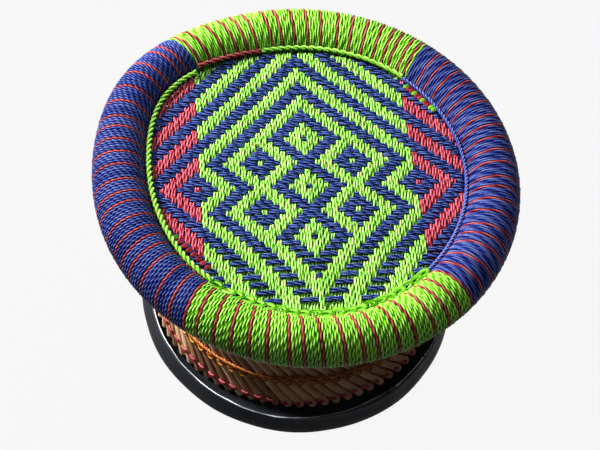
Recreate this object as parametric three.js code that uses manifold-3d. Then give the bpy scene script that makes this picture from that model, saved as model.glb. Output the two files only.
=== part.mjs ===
// A low round stool: a wall of crossed reeds between a cord-wound rim and a rubber-clad
// foot ring, with a flat seat of woven cord. Units are millimetres, +Z is up, the origin
// is on the floor at the centre of the foot ring, and the front of the seat faces -Y.

import * as THREE from 'three';
import { mergeVertices } from 'three/addons/utils/BufferGeometryUtils.js';
import Module from 'manifold-3d';

const wasm = await Module();
wasm.setup();

const FULL_TURN = 2 * Math.PI;
const degrees = (angle) => (angle * Math.PI) / 180;

// Overall sizes
const STOOL_HEIGHT = 226;
const RIM_DIAMETER = 380;
const RIM_THICKNESS = 48;
const FOOT_DIAMETER = 316;

// Gap kept between pieces that touch in the real stool
const CLEARANCE = 0.3;
const MERGE_DISTANCE = 0.0001;
const RING_SEGMENTS = 44;

// Cord wound round the rim, with the number of red turns in each quarter
const WINDING_CORD = 2.4;
const RED_CORD_WIDTH = 2.2;
const RED_CORD_GAP = 0.36;
const WINDING_CORE_GAP = 0.6;
const RED_TURN_COUNTS = { front: 17, right: 21, back: 18, left: 22 };
const FIRST_TURN_ANGLE = degrees(230.8);
const STEPS_PER_TURN = 8;

// Woven seat: pairs of warps run front to back and pairs of wefts run across. The lift is
// from the rim's centre line to the gap between their layers, and the red warps start at a
// share of the seat's radius to each side of its middle.
const SEAT_CORD = 2.6;
const SEAT_LIFT = 2.5;
const RED_WARP_SHARE = 0.67;
const WARP_EDGE_WIDTH = 3;
const UNDER_WARP_WIDTH = 2.4;
const UNDER_WARP_DEPTH = 1.3;

// The weave's pattern of nested diamonds, whose middle lies in front of the seat's. A float
// of warp or weft passes over a count of pairs, so that each of the two layers shows in ribs
// of that width. The ribs and small diamonds are given for one quarter, as [across, along]
// from the pattern's middle, in shares of the pitch.
const WEAVE_PITCH = 5.2;
const PATTERN_ACROSS = -0.5;
const PATTERN_FORWARD = 15.2;
const FLOAT_PAIRS = 3;
const RIB_TOP_SHARE = 0.57;
const SMALL_DIAMOND_SHARE = 2;
const WARP_RIB_SHARES = [
  [[0, 18], [13, 5]],
  [[13, 5], [8, 0]],
  [[3, 5], [8, 10]],
  [[3, 5], [8, 0]],
  [[0, 24], [19, 5]],
  [[19, 5], [14, 0]],
  [[19, 5], [24, 0]],
];
const WEFT_RIB_SHARES = [
  [[0, 15], [5, 10]],
  [[5, 10], [0, 5]],
  [[0, 5], [5, 0]],
  [[0, 21], [16, 5]],
  [[16, 5], [11, 0]],
];
const WARP_DIAMOND_SHARES = [[0, 0], [0, 10]];
const WEFT_DIAMOND_SHARES = [[8, 5], [19, 0]];
const FIRST_WHOLE_WARP_SHARE = 30;
const FIRST_WHOLE_WEFT_SHARE = 27;
const RED_UNDER_WARP_SHARES = { across: 22, from: 1, to: 8 };

// Edging cord laid in the corner between the seat and the rim
const EDGING_DIAMETER = 6.4;
const EDGING_STEP = degrees(10);
const EDGING_SIDES = 5;
const RED_EDGING_START = degrees(103);
const RED_EDGING_END = degrees(129);

// Reeds, in bundles of as many as fit between one bundle and the next
const REED_DIAMETER = 8.5;
const REED_TWIST = degrees(50);
const OUTER_BUNDLES = 15;
const INNER_BUNDLES = 14;
const OUTER_REED_SIDES = 5;
const INNER_REED_SIDES = 4;
const REED_SQUEEZE_SHARE = 0.07;
const REED_INSET_FROM_RIM = 20;

// Cane hoop that the reed tops stand under
const HOOP_THICKNESS = 4;

// Foot ring: a core clad in a folded strip of tyre rubber
const TYRE_HEIGHT = 21;
const TYRE_WALL = 3;
const TYRE_TAPER = 6;
const TYRE_EDGE_ROUND = 1.5;
const TYRE_FOOT_WIDTH = 24;
const REED_INSET_FROM_CREASE = 12;

// Cords tied round the reed wall: a rope, a row of loops that hangs under it, and a row
// of ties above the foot ring. A reach is how far a stitch swings above and below its row.
const WAIST_ROPE_HEIGHT = 76;
const WAIST_ROPE_DIAMETER = 5;
const ROPE_SIDES = 4;
const STITCH_CORD_DIAMETER = 2.2;
const STITCH_SIDES = 3;
const STEPS_PER_STITCH = 2;
const LOOP_GAP_UNDER_ROPE = 2;
const LOOP_REACH = 5;
const TIES_ABOVE_TYRE = 13;
const TIE_REACH = 1.5;

const COLOURS = {
  green: '#7fd41e',
  blue: '#2c3a97',
  red: '#c8323f',
  orange: '#d98a1e',
  reed: '#b39a78',
  cane: '#8f7350',
  grass: '#a58d5f',
  rubber: '#1b1c1f',
};

function material(colour, roughness) {
  return new THREE.MeshStandardMaterial({ color: colour, roughness, metalness: 0 });
}

const stool = new THREE.Group();

function addPiece(name, geometry, colour, roughness) {
  const mesh = new THREE.Mesh(facesOut(geometry), material(colour, roughness));
  mesh.name = name;
  stool.add(mesh);
  return mesh;
}

// Geometry helpers

function signedVolume(geometry) {
  const place = geometry.getAttribute('position');
  const index = geometry.getIndex();
  const corners = [new THREE.Vector3(), new THREE.Vector3(), new THREE.Vector3()];
  let total = 0;
  for (let first = 0; first < index.count; first += 3) {
    corners.forEach((corner, k) => corner.fromBufferAttribute(place, index.getX(first + k)));
    total += corners[0].dot(corners[1].clone().cross(corners[2])) / 6;
  }
  return total;
}

function facesOut(source) {
  const bare = source.clone();
  bare.deleteAttribute('normal');
  bare.deleteAttribute('uv');
  const geometry = mergeVertices(bare, MERGE_DISTANCE);
  if (signedVolume(geometry) < 0) {
    const index = geometry.getIndex();
    for (let first = 0; first < index.count; first += 3) {
      const second = index.getX(first + 1);
      index.setX(first + 1, index.getX(first + 2));
      index.setX(first + 2, second);
    }
  }
  geometry.computeVertexNormals();
  return geometry;
}

function toSolid(geometry) {
  const merged = facesOut(geometry);
  return new wasm.Manifold(new wasm.Mesh({
    numProp: 3,
    vertProperties: new Float32Array(merged.getAttribute('position').array),
    triVerts: new Uint32Array(merged.getIndex().array),
  }));
}

function fromSolid(solid) {
  const mesh = solid.getMesh();
  const geometry = new THREE.BufferGeometry();
  geometry.setAttribute('position', new THREE.BufferAttribute(mesh.vertProperties, 3));
  geometry.setIndex(new THREE.BufferAttribute(mesh.triVerts, 1));
  return geometry;
}

// A ring turned about Z from a closed outline of [radius, height] points
function turnedRing(outline) {
  const points = [...outline, outline[0]].map(([radius, height]) => new THREE.Vector2(radius, height));
  return new THREE.LatheGeometry(points, RING_SEGMENTS).rotateX(Math.PI / 2);
}

// Radius of the corners of a faceted ring whose flats reach in to the given radius
const ringCorner = (flatRadius) => flatRadius / Math.cos(Math.PI / RING_SEGMENTS);

// A round section as an outline of [radius, height] points, with its first corner outward
function roundSection(centreRadius, centreHeight, radius, sides) {
  return Array.from({ length: sides }, (_, k) => {
    const angle = (FULL_TURN * k) / sides;
    return [centreRadius + radius * Math.cos(angle), centreHeight + radius * Math.sin(angle)];
  });
}

function arcPoints(radius, start, end, steps) {
  return Array.from({ length: steps + 1 }, (_, k) => {
    const angle = start + ((end - start) * k) / steps;
    return new THREE.Vector2(radius * Math.cos(angle), radius * Math.sin(angle));
  });
}

// Sizes worked out from the ones above

const rimRadius = RIM_THICKNESS / 2;
const rimCentreRadius = RIM_DIAMETER / 2 - rimRadius;
const rimHeight = STOOL_HEIGHT - rimRadius;
const rimInnerRadius = rimCentreRadius - rimRadius;
const turnTotal = Object.values(RED_TURN_COUNTS).reduce((sum, turns) => sum + turns, 0);
const turnPitch = FULL_TURN / turnTotal;
const windingFloor = rimRadius - WINDING_CORD;

// Where each quarter of the winding starts, going round from the front
const quarterStarts = {};
let nextStart = FIRST_TURN_ANGLE;
for (const [side, turns] of Object.entries(RED_TURN_COUNTS)) {
  quarterStarts[side] = nextStart;
  nextStart += turns * turnPitch;
}

// Rim: a bound core and, round it, bands of plain cord with one red turn between bands.
// Each colour has its own helix, which moves one pitch along the rim in every turn.

addPiece(
  'rim_core',
  turnedRing(roundSection(rimCentreRadius, rimHeight, windingFloor - WINDING_CORE_GAP, STEPS_PER_TURN)),
  COLOURS.grass,
  0.9,
);

// A tube wound on the rim from its underside; each corner of its section is an angle along
// the rim and a distance from the rim's centre line
function rimWinding(startAngle, turns, corners) {
  const stations = [];
  for (let step = 0; step <= turns * STEPS_PER_TURN; step += 1) {
    const around = -Math.PI / 2 - (FULL_TURN * step) / STEPS_PER_TURN;
    const along = startAngle + (turnPitch * step) / STEPS_PER_TURN;
    stations.push(corners.map(([offset, distance]) => {
      const reach = rimCentreRadius + distance * Math.cos(around);
      return new THREE.Vector3(
        reach * Math.cos(along + offset),
        reach * Math.sin(along + offset),
        rimHeight + distance * Math.sin(around),
      );
    }));
  }
  return stations;
}

function tubeThrough(stations) {
  const sides = stations[0].length;
  const last = (stations.length - 1) * sides;
  const index = [];
  for (let row = 0; row < last; row += sides) {
    for (let k = 0; k < sides; k += 1) {
      const next = (k + 1) % sides;
      index.push(row + k, row + next, row + sides + k);
      index.push(row + next, row + sides + next, row + sides + k);
    }
  }
  for (let k = 1; k + 1 < sides; k += 1) {
    index.push(0, k + 1, k);
    index.push(last, last + k, last + k + 1);
  }
  const geometry = new THREE.BufferGeometry().setFromPoints(stations.flat());
  geometry.setIndex(index);
  return geometry;
}

// Least distance between corner points that are more than half a turn apart on one tube
function leastSelfGap(stations) {
  let least = Infinity;
  for (let near = 0; near < stations.length; near += 1) {
    const end = Math.min(stations.length, near + 2 * STEPS_PER_TURN);
    for (let far = near + STEPS_PER_TURN / 2 + 1; far < end; far += 1) {
      for (const a of stations[near]) {
        for (const b of stations[far]) {
          least = Math.min(least, a.distanceTo(b));
        }
      }
    }
  }
  return least;
}

const redGapAngle = RED_CORD_GAP / rimInnerRadius;
const redTurnAngle = RED_CORD_WIDTH / rimCentreRadius;
const bandAngle = turnPitch - redTurnAngle - 2 * redGapAngle;
const redStart = bandAngle + redGapAngle;
const bandSection = [[0, windingFloor], [bandAngle, windingFloor], [bandAngle, rimRadius], [0, rimRadius]];
const redSection = [
  [redStart, windingFloor],
  [redStart + redTurnAngle, windingFloor],
  [redStart + redTurnAngle / 2, rimRadius],
];
const QUARTER_COLOURS = { front: 'green', right: 'blue', back: 'green', left: 'blue' };

for (const [side, turns] of Object.entries(RED_TURN_COUNTS)) {
  const colour = QUARTER_COLOURS[side];
  const band = rimWinding(quarterStarts[side], turns, bandSection);
  const red = rimWinding(quarterStarts[side], turns, redSection);
  addPiece(`rim_winding_${side}_${colour}`, tubeThrough(band), COLOURS[colour], 0.45);
  addPiece(`rim_winding_${side}_red`, tubeThrough(red), COLOURS.red, 0.45);
  console.log(`${side}: least gap of a band to itself ${leastSelfGap(band).toFixed(2)} mm,`
    + ` of a red cord to itself ${leastSelfGap(red).toFixed(2)} mm`);
}

// Seat: a layer of blue wefts, and on it three fields of warps, green between two of red. Each
// shows as ribs that meet in nested diamonds, flush with each other. The warps' ribs end in an
// edge at the rim, and where a field's ribs meet neither it nor each other, a warp that passes
// under the wefts joins them, in a groove of the weft layer.

const seatRadius = rimInnerRadius - CLEARANCE;
const warpEdgeRadius = seatRadius - WARP_EDGE_WIDTH;
const weftTop = rimHeight + SEAT_LIFT - CLEARANCE / 2;
const weftBase = weftTop - SEAT_CORD;
const warpBase = weftTop + CLEARANCE;
const warpTop = warpBase + SEAT_CORD;
const ribHalfShare = FLOAT_PAIRS / 2 - CLEARANCE / Math.SQRT2 / WEAVE_PITCH;
const ribTopHalfShare = ribHalfShare * RIB_TOP_SHARE;

function disc(radius, base, top) {
  return wasm.Manifold.cylinder(top - base, radius, radius, RING_SEGMENTS).translate([0, 0, base]);
}

function block([lowX, highX], [lowY, highY], [lowZ, highZ]) {
  const size = [highX - lowX, highY - lowY, highZ - lowZ];
  return wasm.Manifold.cube(size).translate([lowX, lowY, lowZ]);
}

// A point of the pattern, in the quarter to the given sides of its middle
function patternPoint([across, along], [side, end], height) {
  return [
    PATTERN_ACROSS + side * across * WEAVE_PITCH,
    -PATTERN_FORWARD - end * along * WEAVE_PITCH,
    height,
  ];
}

// A straight rib, mitred at its ends: along the pattern's middle line or across it
function rib(places, quarter, base) {
  const corners = [];
  for (const [across, along] of places) {
    const mitre = across === 0 ? [0, 1] : [1, 0];
    for (const [half, height] of [[ribHalfShare, base], [ribTopHalfShare, warpTop]]) {
      for (const hand of [-half, half]) {
        const place = [across + hand * mitre[0], along + hand * mitre[1]];
        corners.push(patternPoint(place, quarter, height));
      }
    }
  }
  return wasm.Manifold.hull(corners);
}

function smallDiamond([across, along], quarter, base) {
  const corners = [];
  for (const [half, height] of [[ribHalfShare, base], [ribTopHalfShare, warpTop]]) {
    const reach = SMALL_DIAMOND_SHARE + half;
    for (const [x, y] of [[reach, 0], [0, reach], [-reach, 0], [0, -reach]]) {
      corners.push(patternPoint([across + x, along + y], quarter, height));
    }
  }
  return wasm.Manifold.hull(corners);
}

function weaveRibs(ribShares, firstWholeShare, diamondShares, base) {
  const places = [...ribShares];
  const furthest = (seatRadius + PATTERN_FORWARD) * Math.SQRT2;
  for (let reach = firstWholeShare; reach * WEAVE_PITCH < furthest; reach += 2 * FLOAT_PAIRS) {
    places.push([[0, reach], [reach, 0]]);
  }
  const solids = [];
  for (const quarter of [[1, 1], [1, -1], [-1, 1], [-1, -1]]) {
    places.forEach((ends) => solids.push(rib(ends, quarter, base)));
    diamondShares.forEach((place) => solids.push(smallDiamond(place, quarter, base)));
  }
  return wasm.Manifold.union(solids);
}

// A warp that passes under the wefts, or with a clearance and a height, the groove for it
function underWarp([x, fromY, toY], clearance, top) {
  const half = UNDER_WARP_WIDTH / 2 + clearance;
  return block(
    [x - half, x + half],
    [Math.min(fromY, toY) - clearance, Math.max(fromY, toY) + clearance],
    [warpBase - UNDER_WARP_DEPTH - clearance, top],
  );
}

const underWarps = [[PATTERN_ACROSS, -warpEdgeRadius - CLEARANCE, warpEdgeRadius + CLEARANCE]];
for (const side of [-1, 1]) {
  const { across, from, to } = RED_UNDER_WARP_SHARES;
  const [x, fromY] = patternPoint([across, from], [side, 1], 0);
  const [, toY] = patternPoint([across, to], [side, 1], 0);
  underWarps.push([x, fromY, toY]);
}

const warpEdge = disc(seatRadius, warpBase, warpTop).subtract(disc(warpEdgeRadius, 0, STOOL_HEIGHT));
const warpRibs = weaveRibs(WARP_RIB_SHARES, FIRST_WHOLE_WARP_SHARE, WARP_DIAMOND_SHARES, warpBase);
const warps = wasm.Manifold.union([
  warpRibs.intersect(disc(warpEdgeRadius + CLEARANCE, 0, STOOL_HEIGHT)),
  warpEdge,
  ...underWarps.map((place) => underWarp(place, 0, warpBase)),
]);
const weftRibs = weaveRibs(WEFT_RIB_SHARES, FIRST_WHOLE_WEFT_SHARE, WEFT_DIAMOND_SHARES, weftTop);
const wefts = wasm.Manifold.union([
  weftRibs.intersect(disc(warpEdgeRadius - CLEARANCE, 0, STOOL_HEIGHT)),
  disc(seatRadius, weftBase, weftTop),
]);
const grooves = underWarps.map((place) => underWarp(place, CLEARANCE, STOOL_HEIGHT));
addPiece('seat_weft_blue', fromSolid(wefts.subtract(wasm.Manifold.union(grooves))), COLOURS.blue, 0.45);

const redWarpStart = RED_WARP_SHARE * seatRadius;
const greenEdge = redWarpStart - CLEARANCE / 2;
const redEdge = redWarpStart + CLEARANCE / 2;
const warpFields = [
  { name: 'seat_warp_green', colour: 'green', from: -greenEdge, to: greenEdge },
  { name: 'seat_warp_red_right', colour: 'red', from: redEdge, to: seatRadius },
  { name: 'seat_warp_red_left', colour: 'red', from: -seatRadius, to: -redEdge },
];
for (const field of warpFields) {
  const part = block([field.from, field.to], [-seatRadius, seatRadius], [0, STOOL_HEIGHT]);
  addPiece(field.name, fromSolid(warps.intersect(part)), COLOURS[field.colour], 0.45);
}

// Edging: lengths of cord laid end to end on the seat's edge, against the rim

const edgingRuns = [
  { name: 'edging_left_green', colour: 'green', from: RED_EDGING_END, to: quarterStarts.front },
  { name: 'edging_front_green', colour: 'green', from: quarterStarts.front, to: quarterStarts.right },
  { name: 'edging_right_blue', colour: 'blue', from: quarterStarts.right, to: quarterStarts.back },
  {
    name: 'edging_back_green',
    colour: 'green',
    from: quarterStarts.back,
    to: RED_EDGING_START + FULL_TURN,
  },
  { name: 'edging_back_red', colour: 'red', from: RED_EDGING_START, to: RED_EDGING_END },
];
const edgingRadius = EDGING_DIAMETER / 2;
const edgingHeight = warpTop + CLEARANCE + edgingRadius;
// The winding's inner face leans out from the vertical by half of one step round the rim
const rimFaceLean = Math.PI / STEPS_PER_TURN;
const rimFaceRadius = rimInnerRadius + (edgingHeight - rimHeight) * Math.tan(rimFaceLean);
const edgingCentreRadius = rimFaceRadius - (edgingRadius + CLEARANCE) / Math.cos(rimFaceLean);
const edgingEndGap = CLEARANCE / 2 / (edgingCentreRadius - edgingRadius);

class RingArc extends THREE.Curve {
  constructor(radius, height, from, to) {
    super();
    Object.assign(this, { radius, height, from, to });
  }

  getPoint(share, target = new THREE.Vector3()) {
    const angle = this.from + (this.to - this.from) * share;
    return target.set(this.radius * Math.cos(angle), this.radius * Math.sin(angle), this.height);
  }
}

for (const run of edgingRuns) {
  const from = run.from + edgingEndGap;
  const to = run.to - edgingEndGap;
  const steps = Math.ceil((to - from) / EDGING_STEP);
  const section = new THREE.Shape(arcPoints(edgingRadius, 0, FULL_TURN, EDGING_SIDES).slice(0, -1));
  const path = new RingArc(edgingCentreRadius, edgingHeight, from, to);
  const geometry = new THREE.ExtrudeGeometry(section, { steps, bevelEnabled: false, extrudePath: path });
  addPiece(run.name, geometry, COLOURS[run.colour], 0.45);
}

// Cane hoop: lies on the reed tops and carries the rim at 45 degrees under its inner side

const hoopOuterRadius = rimCentreRadius - rimRadius * Math.cos(Math.PI / 4);
const hoopTop = rimHeight - rimRadius * Math.sin(Math.PI / 4) - CLEARANCE * Math.SQRT2;
const hoopBase = hoopTop - HOOP_THICKNESS;

// Places of the reeds' ends, measured to the rods' axes where they would meet the rings

const reedRadius = REED_DIAMETER / 2;
const layerStep = (REED_DIAMETER + CLEARANCE) / Math.cos(REED_TWIST / 2);
const outerTopRadius = rimCentreRadius - REED_INSET_FROM_RIM;
const innerTopRadius = outerTopRadius - layerStep;
const outerFootRadius = FOOT_DIAMETER / 2 - TYRE_TAPER - REED_INSET_FROM_CREASE;
const innerFootRadius = outerFootRadius - layerStep;

addPiece(
  'top_hoop',
  turnedRing([
    [hoopOuterRadius, hoopBase],
    [hoopOuterRadius, hoopTop],
    [innerTopRadius - reedRadius, hoopTop],
    [innerTopRadius - reedRadius, hoopBase],
  ]),
  COLOURS.cane,
  0.7,
);

// Foot ring: the strip is wrapped round the core, with its two edges turned to the inside

const footRadius = FOOT_DIAMETER / 2;
const creaseRadius = footRadius - TYRE_TAPER;
const wallLean = Math.atan(TYRE_TAPER / TYRE_HEIGHT);
const wallAcross = TYRE_WALL / Math.cos(wallLean);
const wallRadius = (height) => footRadius - TYRE_TAPER * (height / TYRE_HEIGHT);
const lipInnerRadius = innerFootRadius - reedRadius;
const footInnerRadius = footRadius - TYRE_FOOT_WIDTH;
const lipUnderside = TYRE_HEIGHT - TYRE_WALL;

addPiece(
  'foot_tyre_strip',
  turnedRing([
    [footRadius - TYRE_EDGE_ROUND, 0],
    [wallRadius(TYRE_EDGE_ROUND), TYRE_EDGE_ROUND],
    [wallRadius(TYRE_HEIGHT - TYRE_EDGE_ROUND), TYRE_HEIGHT - TYRE_EDGE_ROUND],
    [creaseRadius - TYRE_EDGE_ROUND, TYRE_HEIGHT],
    [lipInnerRadius, TYRE_HEIGHT],
    [lipInnerRadius, lipUnderside],
    [wallRadius(lipUnderside) - wallAcross, lipUnderside],
    [wallRadius(TYRE_WALL) - wallAcross, TYRE_WALL],
    [footInnerRadius, TYRE_WALL],
    [footInnerRadius, 0],
  ]),
  COLOURS.rubber,
  0.55,
);

const coreBase = TYRE_WALL + CLEARANCE;
const coreTop = lipUnderside - CLEARANCE;
addPiece(
  'foot_core',
  turnedRing([
    [wallRadius(coreBase) - wallAcross - CLEARANCE, coreBase],
    [wallRadius(coreTop) - wallAcross - CLEARANCE, coreTop],
    [lipInnerRadius, coreTop],
    [lipInnerRadius, coreBase],
  ]),
  COLOURS.grass,
  0.9,
);

// Reeds: straight rods from the foot ring up to the hoop. Each stands askew by the same
// twist, so that the wall narrows to a waist, and the inner layer leans the other way.

function reedLayer(footAxisRadius, topAxisRadius, hand) {
  const foot = new THREE.Vector3(footAxisRadius, 0, TYRE_HEIGHT);
  const top = new THREE.Vector3(
    topAxisRadius * Math.cos(REED_TWIST),
    -hand * topAxisRadius * Math.sin(REED_TWIST),
    hoopBase,
  );
  const axis = top.clone().sub(foot).normalize();
  const lean = Math.acos(axis.z);
  // The rod stops where the low or high edge of its square end meets the ring
  const trim = (CLEARANCE + reedRadius * Math.sin(lean)) / Math.cos(lean);
  foot.addScaledVector(axis, trim);
  top.addScaledVector(axis, -trim);
  const toWaist = -(foot.x * axis.x + foot.y * axis.y) / (axis.x ** 2 + axis.y ** 2);
  const waist = foot.clone().addScaledVector(axis, toWaist);
  return { foot, top, axis, lean, waist, waistRadius: Math.hypot(waist.x, waist.y) };
}

// Distance from Z to the outer face of a layer at a height
function layerSurface(layer, height) {
  const { waist, waistRadius, lean } = layer;
  const spread = (height - waist.z) * Math.tan(lean);
  const axisRadius = Math.hypot(waistRadius, spread);
  const slope = (spread * Math.tan(lean)) / axisRadius;
  return axisRadius + reedRadius * Math.hypot(1, slope);
}

// Angle about Z between two rods of a layer that pass at the given distance
function angleBetween(layer, distance) {
  return 2 * Math.asin(distance / (2 * layer.waistRadius * Math.cos(layer.lean)));
}

function reedRod(layer, sides) {
  const outward = new THREE.Vector3(layer.waist.x, layer.waist.y, 0).normalize();
  const sideways = outward.clone().cross(layer.axis).normalize();
  const middle = layer.foot.clone().add(layer.top).multiplyScalar(0.5);
  const rod = new THREE.CylinderGeometry(reedRadius, reedRadius, layer.foot.distanceTo(layer.top), sides);
  const frame = new THREE.Matrix4().makeBasis(sideways.negate(), layer.axis, outward);
  return rod.applyMatrix4(frame.setPosition(middle));
}

// Adds a layer of bundles and returns the number of reeds in it
function addReeds(prefix, layer, bundles, sides) {
  const pitch = angleBetween(layer, REED_DIAMETER * (1 - REED_SQUEEZE_SHARE));
  const bundleAngle = FULL_TURN / bundles;
  const spareAngle = bundleAngle - angleBetween(layer, REED_DIAMETER + CLEARANCE);
  const reedsPerBundle = Math.floor(spareAngle / pitch) + 1;
  const rod = reedRod(layer, sides);
  let bundle = toSolid(rod);
  for (let k = 1; k < reedsPerBundle; k += 1) {
    bundle = bundle.add(toSolid(rod.clone().rotateZ(k * pitch)));
  }
  const geometry = fromSolid(bundle);
  for (let k = 0; k < bundles; k += 1) {
    const number = String(k + 1).padStart(2, '0');
    addPiece(`${prefix}_${number}`, geometry, COLOURS.reed, 0.6).rotation.z = k * bundleAngle;
  }
  console.log(`${prefix}: ${bundles} bundles of ${reedsPerBundle} reeds`);
  return bundles * reedsPerBundle;
}

const outerLayer = reedLayer(outerFootRadius, outerTopRadius, 1);
const innerLayer = reedLayer(innerFootRadius, innerTopRadius, -1);
const outerReedCount = addReeds('reeds_outer', outerLayer, OUTER_BUNDLES, OUTER_REED_SIDES);
addReeds('reeds_inner', innerLayer, INNER_BUNDLES, INNER_REED_SIDES);

// Cords tied round the outer reeds

const ropeRadius = WAIST_ROPE_DIAMETER / 2;
const stitchRadius = STITCH_CORD_DIAMETER / 2;
const loopRowHeight = WAIST_ROPE_HEIGHT - ropeRadius - LOOP_GAP_UNDER_ROPE - stitchRadius - LOOP_REACH;
const tieRowHeight = TYRE_HEIGHT + TIES_ABOVE_TYRE;
const ropeCentre = ringCorner(layerSurface(outerLayer, WAIST_ROPE_HEIGHT) + CLEARANCE + ropeRadius);
addPiece(
  'waist_rope_orange',
  turnedRing(roundSection(ropeCentre, WAIST_ROPE_HEIGHT, ropeRadius, ROPE_SIDES)),
  COLOURS.orange,
  0.6,
);

// A stitched cord: it runs round the wall and swings up and down once for each reed
function stitchedCord(height, reach, stitches) {
  const steps = stitches * STEPS_PER_STITCH;
  const rowRadius = layerSurface(outerLayer, height);
  const geometry = new THREE.TorusGeometry(rowRadius, stitchRadius, STITCH_SIDES, steps);
  const place = geometry.getAttribute('position');
  const facetGrowth = 1 / Math.cos(Math.PI / steps);
  for (let k = 0; k < place.count; k += 1) {
    const angle = Math.atan2(place.getY(k), place.getX(k));
    const swing = reach * Math.cos(stitches * angle);
    const across = Math.hypot(place.getX(k), place.getY(k)) - rowRadius;
    const centre = (layerSurface(outerLayer, height + swing) + CLEARANCE + stitchRadius) * facetGrowth;
    const out = centre + across;
    place.setXYZ(k, out * Math.cos(angle), out * Math.sin(angle), height + swing + place.getZ(k));
  }
  return geometry;
}

const waistLoops = stitchedCord(loopRowHeight, LOOP_REACH, outerReedCount);
addPiece('waist_loops_orange', waistLoops, COLOURS.orange, 0.5);
const footTies = stitchedCord(tieRowHeight, TIE_REACH, outerReedCount);
addPiece('foot_ties_red', footTies, COLOURS.red, 0.5);

export default stool;
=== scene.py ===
"""Looks of a low round stool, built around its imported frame.

Two layers of crossed reeds stand between a foot ring clad in tyre rubber and a thick rim
wound with cord, and a flat seat of woven cord fills the rim. Lengths are millimetres until
a mesh is made, angles are radians unless a comment says degrees, and azimuths run from +X
towards +Y, with the front of the seat at -Y.
"""

import math

import bpy
import numpy as np
from mathutils import Matrix, Vector


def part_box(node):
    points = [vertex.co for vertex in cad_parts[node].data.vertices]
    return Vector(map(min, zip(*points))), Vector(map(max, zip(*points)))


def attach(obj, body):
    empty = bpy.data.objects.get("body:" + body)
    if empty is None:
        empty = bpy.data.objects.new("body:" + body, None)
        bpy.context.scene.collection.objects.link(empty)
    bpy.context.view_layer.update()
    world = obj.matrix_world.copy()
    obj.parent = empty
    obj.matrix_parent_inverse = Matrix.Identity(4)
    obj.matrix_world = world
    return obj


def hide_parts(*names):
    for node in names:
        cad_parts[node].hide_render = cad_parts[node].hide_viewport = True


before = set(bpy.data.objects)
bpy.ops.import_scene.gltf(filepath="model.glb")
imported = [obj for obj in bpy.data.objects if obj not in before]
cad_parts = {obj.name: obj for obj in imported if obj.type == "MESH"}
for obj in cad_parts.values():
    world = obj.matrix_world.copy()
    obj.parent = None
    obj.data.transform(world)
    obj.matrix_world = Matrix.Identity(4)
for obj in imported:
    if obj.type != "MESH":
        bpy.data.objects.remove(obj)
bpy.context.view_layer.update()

MM = 0.001
FULL_TURN = 2 * math.pi
SEED = 20
rng = np.random.default_rng(SEED)

# How many sides the sections of tubes have
CORD_SIDES = 6
RIM_CORD_SIDES = 8
STRAND_SIDES = 7

# A tube's own map runs in centimetres along it. The baked map keeps a share of its height
# for the ends of the tubes.
CORD_MAP_SCALE = 0.1
CAP_ROW = 0.02


# Lines and points


def box_mm(node):
    """Lowest and highest corner of a CAD node, in millimetres."""
    low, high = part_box(node)
    return np.array(low) / MM, np.array(high) / MM


def unit(rows):
    """Each row's direction."""
    return rows / np.linalg.norm(rows, axis=-1, keepdims=True)


def polar(radius, azimuth, height):
    """Points from radii, azimuths and heights, any of which may be arrays."""
    radius, azimuth, height = np.broadcast_arrays(radius, azimuth, height)
    return np.stack([radius * np.cos(azimuth), radius * np.sin(azimuth), height], -1)


def by_azimuth(azimuth, azimuths, values):
    """A value that runs through given ones, at azimuths in degrees, round the stool."""
    return np.interp(np.degrees(azimuth), azimuths, values, period=360)


def frames(line, facing, closed=False):
    """Unit vectors to a line's side and towards facing, at each of its points."""
    if closed:
        ahead = unit(np.roll(line, -1, 0) - np.roll(line, 1, 0))
    else:
        ahead = unit(np.gradient(line, axis=0))
    facing = unit(facing - (facing * ahead).sum(1, keepdims=True) * ahead)
    return np.cross(facing, ahead), facing


def lengths(line):
    """How far along its line each point lies."""
    return np.concatenate([[0], np.linalg.norm(np.diff(line, axis=0), axis=1).cumsum()])


def arc(radius, start, end, height, step):
    """Points along an arc with directions outward, from azimuths in degrees. The height may
    be a pair, of a start and an end."""
    start, end = math.radians(start), math.radians(end)
    points = math.ceil(abs(end - start) * radius / step) + 1
    share = np.linspace(0, 1, points)
    height = np.interp(share, (0, 1), np.broadcast_to(height, 2))
    azimuth = start + (end - start) * share
    return polar(radius, azimuth, height), polar(1.0, azimuth, 0.0)


def laid(line, facing, reach, pitch, phase):
    """The line of a strand twisted round another line."""
    aside, facing = frames(line, facing)
    turn = (phase + FULL_TURN * lengths(line) / pitch)[:, None]
    return line + reach * (np.cos(turn) * aside + np.sin(turn) * facing)


def round_section(radius, sides):
    """A round section, as distances to the side and towards facing."""
    turn = np.arange(sides) * FULL_TURN / sides
    return np.stack([radius * np.cos(turn), radius * np.sin(turn)], -1)


def ply_section(line, radius, half_turn, depth, phase, width=1.0, sides=CORD_SIDES):
    """The section of cord of two twisted plies at each point of its line. Its two lobes are
    as deep as depth says, as a share of the radius, and width narrows it."""
    along = lengths(line)
    side = np.arange(sides) * FULL_TURN / sides
    turned = side[None] + (phase + math.pi * along / half_turn)[:, None]
    reach = radius * (1 + depth * np.cos(2 * side))[None]
    width = np.broadcast_to(width, along.shape)[:, None]
    return np.stack([reach * np.cos(turned) * width, reach * np.sin(turned)], -1)


# Meshes and pieces


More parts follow.
